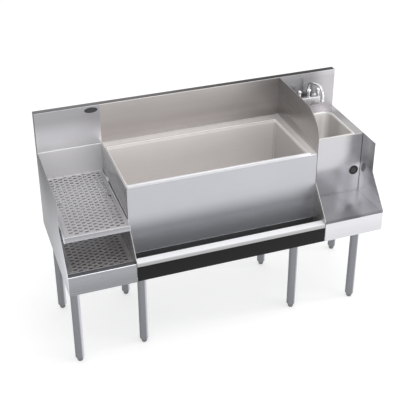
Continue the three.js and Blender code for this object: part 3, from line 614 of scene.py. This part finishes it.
def frame_ring(out, z, drop=0.0):
    """A loop round the well on its frame, which is narrow at the back; the lip drops furthest in front."""
    loop = []
    for px, py, _ in well_ring(0, z):
        x = px - out if px < pan_x else px + out
        y = py - out if py < pan_y else py + min(out, frame_rear)
        loop.append((x, y, z - (drop if py < lip_end[1] - 1 else min(drop, end_drop))))
    return loop


pan_floor_loop = well_ring(-3, pan_floor)
pan_loops = [hole_round(pan_x, pan_drain_y, pan_hole, pan_floor_loop, pan_floor), pan_floor_loop,
             well_ring(-0.9, pan_floor + 0.9), well_ring(0, pan_floor + 3), well_ring(0, pan_top - 1)]
pan_loops += [frame_ring(out, pan_top - down) for out, down in (
    (0.3, 0.3), (1.0, 0), (4.2, 0), (5.5, 0.5), (frame_wide, frame_edge))]
pan_loops += [frame_ring(frame_wide, pan_top - frame_edge, lip_drop)]
deck_pan = walled(lofted("drip_pan", pan_loops, shown=(0, 0, 1)), 1.2)
# The pan is painted darker on the front face of its lip, and lighter on the floor of the well, most towards
# the back: painted shade and painted light in the well's shade.
pan_steel = brushed_steel("pan_steel", (0.72, 0.72, 0.755), "X", 0.28, painted_shading=[
    (1, -241.2, -240.7, 0.5, 1.0), (2, 620, 640, (1, -200, 200, 1.25, 2.2), 1.0)])
fitted(deck_pan, "station", "satin_steel", pan_steel, "deck_pan")


# Perforated inserts: plates with turned-down edges that lift out. Their slots lie across the plate, in
# columns that stand half a pitch apart; the upper one has a round finger hole in each end column.
def copied(first, name, along):
    """The same piece once more, some millimetres away."""
    twin = first.copy()
    twin.data = first.data.copy()
    twin.name = name
    twin.data.name = name
    twin.data.transform(Matrix.Translation(Vector(along) * MM))
    scene.collection.objects.link(twin)
    return twin


slot_length, slot_width, slots_apart, columns_apart = 18, 9, 24, 22.7
slot_columns, columns_right, first_slot, last_slot = 11, 5, 14, 7.5
finger_radius, finger_row = 12, 10


def perforated(name, box, level, floor, fingers):
    x0, x1, y0, y1 = box
    loops = [rounded(x0 + d, x1 - d, y0 + d, y1 - d, 3, z, steps=3) for d, z in (
        (sheet, level), (0.4, level - 0.4), (0, level - sheet), (0, floor + gap))]
    made = walled(lofted(name, loops, cap_first=True, shown=(0, 0, 1)), sheet)
    half_length, half_width, cut = slot_length / 2, slot_width / 2, (level - 4, level + 3)
    slot_punch = solid("punch", [rounded(-half_length, half_length, -half_width, half_width, half_width, z,
                                         steps=4) for z in cut])
    finger_punch = solid("punch", [ring(0, 0, z, finger_radius, 28) for z in cut])
    punches = []
    for column in range(slot_columns):
        x = (x0 + x1) / 2 + columns_right + (column - (slot_columns - 1) / 2) * columns_apart
        y = y0 + first_slot + (0 if column % 2 else slots_apart / 2)
        row = 0
        while y <= y1 - last_slot:
            wide = fingers and column in (0, slot_columns - 1) and row == finger_row
            punches.append(copied(finger_punch if wide else slot_punch, "punch", (x, y, 0)))
            y += slots_apart
            row += 1
    for first in (slot_punch, finger_punch):
        bpy.data.objects.remove(first, do_unlink=True)
    nothing_selected()
    for hole in punches:
        hole.select_set(True)
    bpy.context.view_layer.objects.active = punches[0]
    bpy.ops.object.join()
    return boolean(made, punches[0])


insert_steel = brushed_steel("insert_steel", (0.52, 0.508, 0.522), "Y", 0.3, metallic=0.65)
# The lower insert gets a much lighter steel than the upper one, painted darker at the front and lighter
# towards the back: painted light and shade under the deck.
tier_insert_steel = brushed_steel("tier_insert_steel", (0.84, 0.81, 0.79), "Y", 0.24, metallic=0.6, painted_shading=[
    (1, -260, 20, 0.72, 1.4)])
tier_floor, tier_insert_top, tier_flange_back, tier_back = 450.6, 473.4, -271.8, 214.8
side_bay = divider_outside + gap
deck_insert_box = grown_box(pan_box, -gap)
tier_insert_box = grown_box((sheet - inner_end, -side_bay - sheet, tier_flange_back, tier_back), -gap)
fitted(perforated("deck_insert_plate", deck_insert_box, pan_top, pan_floor, True), "upper_insert",
       "satin_steel", insert_steel, "deck_insert")
fitted(perforated("tier_insert_plate", tier_insert_box, tier_insert_top, tier_floor, False), "tier_insert",
       "satin_steel", tier_insert_steel, "lower_insert")


# Bottle tier. Apron, front flange, pan and back are one folded stainless sheet. Cheeks close the pan's two
# ends, and its floor has a hole for the drain.
# The tier sheet is painted dark on the apron and the front flange, with light lines at the bends, and darker
# low in the pan: painted shade and painted highlights.
tier_steel = brushed_steel("tier_steel", (0.68, 0.69, 0.735), "X", 0.26, streaks=0.015, metallic=0.6, painted_shading=[
    (1, -304.6, -303.2, (2, 400, 465, 0.45, 0.55), (1, -302, -299.5, 1.3, (
        1, -276.5, -275, 0.36, (1, -272.5, -268, 2.4, (2, 455, 470, 0.5, 1.2)))))])
tier_back_top, cheek_top, tier_drain_y = 610.6, 470.4, 190.8
tier_pan = sheet_along_x("tier_sheet", [
    (unit_front, apron_low), (unit_front, apron_top), (tier_flange_back, apron_top),
    (tier_flange_back, tier_floor), (tier_back, tier_floor), (tier_back, tier_back_top)],
    -inner_end, -side_bay, bend=2.5)
cheek_lap, cheek_drop = 0.7, 1.4
cheek_front, cheek_back = tier_flange_back - cheek_lap, tier_back + cheek_lap
cheek_low = tier_floor - cheek_drop
cheek = [(cheek_front, cheek_low), (cheek_back, cheek_low), (cheek_back, cheek_top), (cheek_front, cheek_top)]
for x0 in (-inner_end, -side_bay - sheet):
    boolean(tier_pan, plate("cheek", cheek, x0, x0 + sheet, edge=0), "UNION")
boolean(tier_pan, solid("tier_drain_hole", [
    ring(pan_x, tier_drain_y, z, pan_hole, 32) for z in (tier_floor - overrun, tier_floor + overrun)]))
fitted(tier_pan, "station", "satin_steel", tier_steel, "lower_pan")


# Sink deck. One sheet forms the deck round the bowl and turns down as the back of the blender bay, with a
# hole for the cord grommet.
sink_box = (515.2, 705.0, -49.3, 198.9)
# The bay's back sheet is painted lighter towards the right low down, darker towards the right higher up, and
# nearly black at its right edge: painted light and shade.
bay_steel = brushed_steel("bay_steel", (0.58, 0.575, 0.6), "X", 0.24, painted_shading=[
    (2, 600, 640, (0, 620, 680, 0.76, (0, 700, 750, 1.34, 1.9)), (0, 650, 710, 1.03, 0.74)),
    (0, 755.5, 758.5, 1.0, 0.3)])
# The deck is painted darker right of the bowl, most towards the back, and lighter on the ledge at the back:
# painted shade and light.
deck_steel = brushed_steel("sink_deck_steel", (0.6, 0.575, 0.583), "X", 0.24, painted_shading=[
    (0, 690, 730, 0.96, (1, 50, 150, 0.76, (1, 170, 230, 0.56, 0.6))), (1, 180, 240, 1.0, 1.5)])
bay_back, bay_back_low, bowl_corner, bowl_near_corner, bowl_clearance = -60.3, 472.3, 45, 8, 1.8
grommet_x, grommet_z, grommet_hole = 725.3, 589.6, 22.3


def bowl_ring(by, z):
    """A loop round the bowl, whose back corners are wide and whose front ones are tight."""
    return grown(sink_box, by, bowl_corner, z, near=bowl_near_corner, steps=10)


sink_deck = sheet_along_x("sink_deck_sheet", [
    (bay_back, bay_back_low), (bay_back, rim), (divider_rear, rim)], side_bay, inner_end, bend=2.5)
boolean(sink_deck, solid("bowl_opening", [
    bowl_ring(bowl_clearance, z) for z in (rim - overrun, rim + overrun)]))
boolean(sink_deck, solid("grommet_hole", [
    ring(grommet_x, y, grommet_z, grommet_hole, 40, "Y") for y in (bay_back - overrun, bay_back + overrun)]))
fitted(sink_deck, "station", "satin_steel", deck_steel, "sink_deck")
second_finish(sink_deck, bay_steel, lambda face: face.normal.z < 0.7)


# Sink bowl. One deep drawn sheet with a wide foot radius and a raised bead that laps the deck all round. Its
# floor falls a little towards the drain, and it is brushed downwards.
bowl_x, bowl_y = (sink_box[0] + sink_box[1]) / 2, (sink_box[2] + sink_box[3]) / 2
bowl_floor, bowl_foot, bowl_fall, bowl_hole = 600.6, 22, 1.6, 38.6
bead_wide, bead_front = 12, 10.7


def bead_ring(share, z):
    """A loop between the bowl's edge and the bead's, which is narrower in front than on the other sides."""
    loop = []
    for px, py, _ in bowl_ring(0, z):
        x = px + share * (bead_wide if px > bowl_x else -bead_wide)
        y = py + share * (bead_wide if py > bowl_y else -bead_front)
        loop.append((x, y, z))
    return loop


bowl_floor_loop = bowl_ring(-bowl_foot, bowl_floor)
bowl_loops = [hole_round(bowl_x, bowl_y, bowl_hole, bowl_floor_loop, bowl_floor - bowl_fall), bowl_floor_loop]
bowl_loops += curved_foot(bowl_ring, bowl_foot, bowl_floor, (18, 36, 54, 72, 90))
bowl_loops += [bowl_ring(0, rim - 0.4)]
bowl_loops += [bead_ring(share, rim + up) for share, up in (
    (0.08, 2.6), (0.25, 3.8), (0.4, 4.0), (0.7, 3.9), (0.9, 3.2), (0.98, 2.0), (1.0, 0.3))]
sink_bowl = walled(lofted("drawn_bowl", bowl_loops, shown=(0, 0, 1)), 1.2)
# The bowl is painted darker low on its right wall, most towards the back, lighter in a band on its back wall
# right of the middle, and darker on the bead's top: painted shade and a painted reflection.
bowl_painted_shading = [(0, 693, 705, 1.0, (2, 784, 791, (1, 30, 110, 0.86, 0.62), 1.0)),
              (1, 160, 190, 1.0, (0, 605, 645, 0.95, (0, 672, 697, 1.4, 0.85))),
              (2, 790.9, 792.4, 1.0, 0.88)]
bowl_steel = brushed_steel("bowl_steel", (0.82, 0.8, 0.785), "Z", 0.38, 0.02, bowl_painted_shading, metallic=0.45)
fitted(sink_bowl, "station", "liner_steel", bowl_steel, "sink_bowl", smooth=50)


# Blender shelf. One stainless sheet, which falls slightly to the bay's back, where its level edge runs
# under the back sheet, and turns down in front as the apron.
shelf_rear, shelf_rear_z = -48.3, 470.9
# The shelf is painted much darker than its apron, most towards the left, and lighter towards the back of the
# bay: painted shade.
shelf_steel = brushed_steel("shelf_steel", (0.74, 0.74, 0.77), "X", 0.22, metallic=0.7, painted_shading=[
    (1, -304.6, -303.2, (2, 400, 465, 0.93, 1.0), (0, 620, 680, 0.54, 0.82)), (1, -304, -303, 1.0, 0.6),
    (1, -300, -270, 1.0, 1.67)])
shelf_line = [(unit_front, apron_low), (unit_front, apron_top), (bay_back, shelf_rear_z),
              (shelf_rear, shelf_rear_z)]
fitted(sheet_along_x("blender_shelf_sheet", shelf_line, side_bay, inner_end, bend=2.5), "station",
       "satin_steel", shelf_steel, "blender_shelf")


# Polished drain fittings: flanged tubes with a rounded flange, a nut under the sink's tailpiece, and a
# lift-out strainer basket with a knob.
def turned(name, profile, x, y, sides=48, z=None):
    """A round piece from (radius, height) points, hollow where they close on themselves. It stands at x, y,
    or, with a z, lies from front to back and its points give a radius and a y."""
    if z is None:
        loops = [ring(x, y, height, radius, sides) for radius, height in profile]
    else:
        loops = [ring(x, height, z, radius, sides, "Y") for radius, height in profile]
    hollow = profile[0] == profile[-1]
    return lofted(name, loops, cap_first=not hollow, cap_last=not hollow)


def raised(base, points):
    """Profile points whose heights count from a base."""
    return [(radius, base + up) for radius, up in points]


def polished(name, colour, roughness):
    """Plated metal with a faint haze."""
    bright, tree, shader, spot = new_finish(name, Metallic=1.0)
    haze = noise(tree, spot, 60.0, 3.0)
    coloured(tree, shader, colour, ranged(tree, haze, 0.3, 0.7, 0.96, 1.02))
    tree.links.new(ranged(tree, haze, 0.3, 0.7, roughness * 0.7, roughness * 1.5),
                   shader.inputs["Roughness"])
    return bright


chrome = polished("chrome", (0.78, 0.785, 0.8), 0.14)
bin_tail, deck_tail, sink_tail, drain_low, drain_cone, drain_cup = 415.6, 444.2, 344.2, 525.6, 545.6, 555.6
bin_flange = raised(tub_floor, [
    (19, 0.3), (43.2, 0.3), (44, 0.8), (43.4, 2.2), (41, 3.1), (22, 3.3), (18.2, 2.6), (17, 1.0)])
fitted(turned("bin_drain_fitting", [(19, bin_tail)] + bin_flange + [(17, bin_tail), (19, bin_tail)], tub_x,
              tub_y), "station", "chrome", chrome, "bin_drain")
for name, y, floor_z, low, node in (
        ("deck_drain_fitting", pan_drain_y, pan_floor, deck_tail, "deck_drain"),
        ("tier_drain_fitting", tier_drain_y, tier_floor, apron_low, "lower_drain")):
    flange = raised(floor_z, [
        (12.7, 0.3), (19.6, 0.3), (20, 0.8), (19.4, 2.2), (18, 2.8), (12.6, 2.8), (11.4, 2.2), (11.1, 1)])
    fitted(turned(name, [(12.7, low)] + flange + [(11.1, low), (12.7, low)], pan_x, y, 32), "station",
           "chrome", chrome, node)
sink_flange = raised(bowl_floor, [
    (38, 0.3), (43.2, 0.3), (44, 0.8), (43.3, 1.8), (41.5, 2.3), (36, 2.3), (34.4, 1.7), (34, 0.4)])
fitted(turned("sink_drain_fitting", [(19, drain_low), (19, drain_cone), (38, drain_cup)] + sink_flange + [
    (34, drain_cup), (17.5, drain_cone), (17.5, drain_low), (19, drain_low)], bowl_x, bowl_y), "station",
    "chrome", chrome, "sink_drain")
basket = turned("strainer_basket", [
    (0.4, 547.7), (19.4, 547.7), (20.4, 548.2), (31, 561.9), (31, 603.2), (30.6, 603.9), (29.8, 603.8),
    (29.5, 603), (29.5, 563.6), (19, 549.4), (5, 549.3), (4, 550.3), (4, 606.5), (3.4, 608.2), (1.6, 608.9),
    (0.4, 608.9)], bowl_x, bowl_y, 36)
strainer_holes, strainer_hole, strainer_ring = 12, 1.9, 13
for hole_x, hole_y, _ in ring(bowl_x, bowl_y, 0, strainer_ring, strainer_holes):
    boolean(basket, solid("strainer_hole", [
        ring(hole_x, hole_y, z, strainer_hole, 10) for z in (drain_cone - overrun, drain_cone + overrun)]))
fitted(basket, "basket", "chrome", chrome, "sink_basket")
fitted(turned("sink_tailpiece_tube", [
    (19, sink_tail), (19, 520.6), (23.4, 520.6), (24, 521.2), (24, 540), (23.4, 540.6), (19.3, 540.6),
    (19.3, 525.3), (17.5, 525.3), (17.5, sink_tail), (19, sink_tail)], bowl_x, bowl_y), "station", "chrome",
    chrome, "sink_tailpiece")


# Cord grommet of black rubber, held in the bay's back sheet by the groove round its neck. A dished grey cap
# closes it until a cord is led through.
rubber = dark_coat("black_rubber", (0.012, 0.012, 0.013), 0.5, speckle=0.18, grain=500.0)
cap_grey = dark_coat("grey_cap", (0.085, 0.083, 0.085), 0.4)
fitted(turned("grommet_ring", [
    (16.5, -57.6), (16.5, -63.2), (17.4, -64.4), (19.4, -64.6), (22.2, -64.2), (23.7, -62.8), (24, -60.6),
    (22, -60.6), (22, -58.5), (24, -58.5), (24, -55.5), (16.5, -55.5), (16.5, -57.6)], grommet_x, 0, 40,
    grommet_z), "station", "rubber", rubber, "cord_grommet")
fitted(turned("grommet_lid", [
    (16.2, -60.6), (16.2, -62.0), (15.6, -62.8), (14.4, -63.0), (12.6, -61.4), (10.4, -61.0), (8, -61.9),
    (4, -62.9), (0.4, -63.4)], grommet_x, 0, 40, grommet_z), "station", "rubber", cap_grey, "grommet_cap")


# Faucet. A chrome casting stands off the splash on two shanks: a tall bar with a valve and a domed knob at
# each end of its top and the spout's post between them. All its edges are rounded.
faucet_y, bar_half_long, bar_half_deep, bar_half_high, bar_corner = 232.9, 62, 12, 23, 5
bar_top, shank_end, knob_low, grip_radius, grips = shank_z + bar_half_high, 297.9, 901.8, 10.8, 6


def bar_ring(x, inset):
    deep, high = bar_half_deep - inset, bar_half_high - inset
    flat = rounded(faucet_y - deep, faucet_y + deep, shank_z - high, shank_z + high,
                   max(bar_corner - inset, 0.5), 0, steps=4)
    return [(x, y, z) for y, z, _ in flat]


faucet_steel = polished("satin_chrome", (0.62, 0.62, 0.635), 0.3)
body = solid("faucet_casting", [bar_ring(faucet_x + side * (bar_half_long - back), inset)
                                for side, back, inset in (
    (-1, 0, 3.5), (-1, 0.8, 1.6), (-1, 2.4, 0.4), (-1, 5, 0), (1, 5, 0), (1, 2.4, 0.4), (1, 0.8, 1.6),
    (1, 0, 3.5))])
for tap_x in taps:
    boolean(body, turned("shank", [
        (11, 234), (11, 256), (12.4, 262), (15, 264.4), (18.4, 265.4), (20, 267), (20, splash_face - gap),
        (shank_radius, splash_face - gap), (shank_radius, shank_end)], tap_x, 0, 40, shank_z), "UNION")
boolean(body, turned("spout_post", raised(bar_top, [
    (8, -11.2), (10.5, -5.2), (10.5, 1.4), (9.8, 3.2), (8, 4.2), (8, 32)]), faucet_x, faucet_y, 40), "UNION")
fitted(body, "station", "chrome", faucet_steel, "faucet_body")
valve_left = turned("valve_stem_left", raised(bar_top, [
    (8.2, 0.3), (8.5, 0.8), (8.5, 21.8), (7.6, 24.3), (4, 24.3), (4, 35.3)]), taps[0], faucet_y, 32)
knob_left = turned("tap_knob_left", raised(knob_low, [
    (4.3, 0), (8.2, 0), (9.6, 0.8), (10, 2.6), (10, 10.8), (9.2, 14), (7.4, 16.6), (5, 18.3), (2.5, 18.9),
    (0.4, 19), (0.4, 11), (4.3, 11), (4.3, 0)]), taps[0], faucet_y, 36)
for grip_x, grip_y, _ in ring(taps[0], faucet_y, 0, grip_radius, grips):
    boolean(knob_left, turned("grip", raised(knob_low, [
        (1.7, -2.8), (1.7, 8.2), (1.2, 9.6), (0.3, 10.2)]), grip_x, grip_y, 16))
valve_right = copied(valve_left, "valve_stem_right", (tap_gap, 0, 0))
knob_right = copied(knob_left, "tap_knob_right", (tap_gap, 0, 0))
fitted(valve_left, "station", "chrome", faucet_steel, "valve_left")
fitted(valve_right, "station", "chrome", faucet_steel, "valve_right")
fitted(knob_left, "knob_left", "chrome", chrome, "handle_left")
fitted(knob_right, "knob_right", "chrome", chrome, "handle_right")


# Swinging spout: a chromed tube that slopes up out of a collar, bends over and ends plumb in an aerator. The
# collar turns on the faucet's post.
spout_foot, spout_rise, spout_reach, spout_radius = 914.5, 69.5, 151, 6.5
spout_path = [(0, 0), (0, .32), (.04, .53), (.16, .68), (.44, .88), (.68, 1), (.82, .98), (.93, .8),
              (.99, .55), (1, .38), (1, .24)]
nothing_selected()
bpy.ops.curve.primitive_bezier_curve_add()
tube = bpy.context.object
tube.name = "spout_tube"
bpy.ops.object.mode_set(mode="EDIT")
bpy.ops.curve.select_all(action="SELECT")
bpy.ops.curve.subdivide(number_cuts=len(spout_path) - 2)
for point, (out, up) in zip(tube.data.splines[0].bezier_points, spout_path):
    point.co = Vector((faucet_x, faucet_y - out * spout_reach, spout_foot + up * spout_rise)) * MM
bpy.ops.curve.select_all(action="SELECT")
bpy.ops.curve.handle_type_set(type="AUTOMATIC")
bpy.ops.object.mode_set(mode="OBJECT")
tube.data.bevel_depth = spout_radius * MM
tube.data.bevel_resolution = 8
tube.data.resolution_u = 10
tube.data.use_fill_caps = True
bpy.ops.object.convert(target="MESH")
spout = bpy.context.object
bpy.ops.object.mode_set(mode="EDIT")
bpy.ops.mesh.select_all(action="SELECT")
bpy.ops.mesh.remove_doubles(threshold=0.00001)
bpy.ops.mesh.normals_make_consistent(inside=False)
bpy.ops.object.mode_set(mode="OBJECT")
boolean(spout, turned("collar", raised(spout_foot, [
    (11, -5), (11.5, -4.3), (11.5, 2.1), (10.6, 4.5), (8.6, 6.4), (6.8, 7)]), faucet_x, faucet_y, 40),
    "UNION")
fitted(spout, "spout", "chrome", chrome, "faucet_spout")
tip_z = spout_foot + spout_path[-1][1] * spout_rise - gap
fitted(turned("aerator_sleeve", raised(tip_z, [
    (5, 0), (8.2, 0), (9, -0.8), (9, -4), (8.6, -4.4), (8.6, -6), (9, -6.4), (9, -10.2), (8.4, -11),
    (5.6, -11), (5, -10.4), (5, 0)]), faucet_x, faucet_y - spout_reach, 36), "spout", "chrome", chrome,
    "faucet_aerator")


# Legs. Eight stainless tubes stand in the channels; each ends in a threaded plug with a bullet foot that
# screws in and out to level the unit.
# The legs' steel is much darker than the rest of the unit's steel: painted shade.
leg_steel = brushed_steel("leg_steel", (0.24, 0.243, 0.262), "Z", 0.24, streaks=0.05, graze=0.6)
leg_tree = leg_steel.node_tree
leg_shader = leg_tree.nodes["Principled BSDF"]
# The side of each leg that faces right is painted up to nearly four times lighter: a painted highlight, as
# from the lamps on the right.
leg_faces = wired(leg_tree, "ShaderNodeNewGeometry").outputs["Normal"]
leg_painted_highlight_side = wired(leg_tree, "ShaderNodeSeparateXYZ", [(0, leg_faces)]).outputs["X"]
coloured(leg_tree, leg_shader, leg_shader.inputs["Base Color"].links[0].from_socket,
         ranged(leg_tree, leg_painted_highlight_side, 0.25, 0.8, 1.0, 3.8))
foot_metal = brushed_steel("foot_metal", (0.22, 0.22, 0.23), "Z", 0.42, streaks=0.06, graze=0.6)
leg_places = [("front_left", -735, -279.2), ("front_inner_left", -426, -255.2),
              ("front_inner_right", 322.7, -255.2), ("front_right", 633, -279.2), ("rear_left", -735, 117.8),
              ("rear_inner_left", -413.2, 117.8), ("rear_inner_right", 322.7, 117.8),
              ("rear_right", 738, 117.8)]
tube_radius, tube_edge, tube_low, plug_top, stem_radius, channel_wall = 20.6, 0.8, 22.3, 42.3, 8, 2.1
front_tube, rear_tube = [turned("leg_tube", [
    (tube_radius - tube_edge, tube_low), (tube_radius, tube_low + tube_edge), (tube_radius, leg_top),
    (tube_radius - sheet, leg_top), (tube_radius - sheet, plug_top), (stem_radius + gap, plug_top),
    (stem_radius + gap, tube_low), (tube_radius - tube_edge, tube_low)], 0, 0, 32)
    for leg_top in (front_notch_top - channel_wall, rear_notch_top - channel_wall)]
bullet_foot = turned("bullet_foot", [
    (9.4, 0), (10.6, 0.5), (11.4, 1.8), (13.1, 6), (13.5, 8), (13.5, 19), (12.6, 21), (11.2, 22),
    (stem_radius, 22), (stem_radius, 82)], 0, 0, 28)
for place, x, y in leg_places:
    fitted(copied(front_tube if y < 0 else rear_tube, f"tube_{place}", (x, y, 0)), "station", "satin_steel",
           leg_steel, f"leg_{place}")
    fitted(copied(bullet_foot, f"bullet_{place}", (x, y, 0)), f"levelling_foot_{place}", "galvanised",
           foot_metal, f"foot_{place}")
for first in (front_tube, rear_tube, bullet_foot):
    bpy.data.objects.remove(first, do_unlink=True)


# Hidden metalwork: galvanised leg channels, the bin's jacket, brackets and nuts. Nothing in the photograph
# shows them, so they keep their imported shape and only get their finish.
def galvanised(name, colour):
    """Zinc with its flaky spangle."""
    zinc, tree, shader, spot = new_finish(name, Metallic=1.0)
    flakes = wired(tree, "ShaderNodeTexVoronoi", [("Vector", spot), ("Scale", 130.0)]).outputs["Distance"]
    both = worked(tree, "ADD", flakes, noise(tree, spot, 9.0, 3.0))
    coloured(tree, shader, colour, ranged(tree, both, 0.3, 1.3, 0.85, 1.1))
    tree.links.new(ranged(tree, both, 0.3, 1.3, 0.4, 0.62), shader.inputs["Roughness"])
    return zinc


def refinished(node, finish):
    nodes[node].data.materials.clear()
    nodes[node].data.materials.append(finish)


galvanised_sheet = galvanised("galvanised_sheet", (0.42, 0.43, 0.44))
for node in ("front_leg_channel", "rear_leg_channel", "bin_jacket", "bin_drain_nut", "deck_bracket_left",
             "deck_bracket_right", "faucet_nut_left", "faucet_nut_right"):
    refinished(node, galvanised_sheet)


# Foam between the liner and its jacket, poured in place as one rigid block. It is never seen while the bin
# is whole.
refinished("bin_insulation", dark_coat("cream_foam", (0.72, 0.66, 0.48), 0.85, speckle=0.08, grain=350.0))

scene.view_settings.view_transform = "Standard"
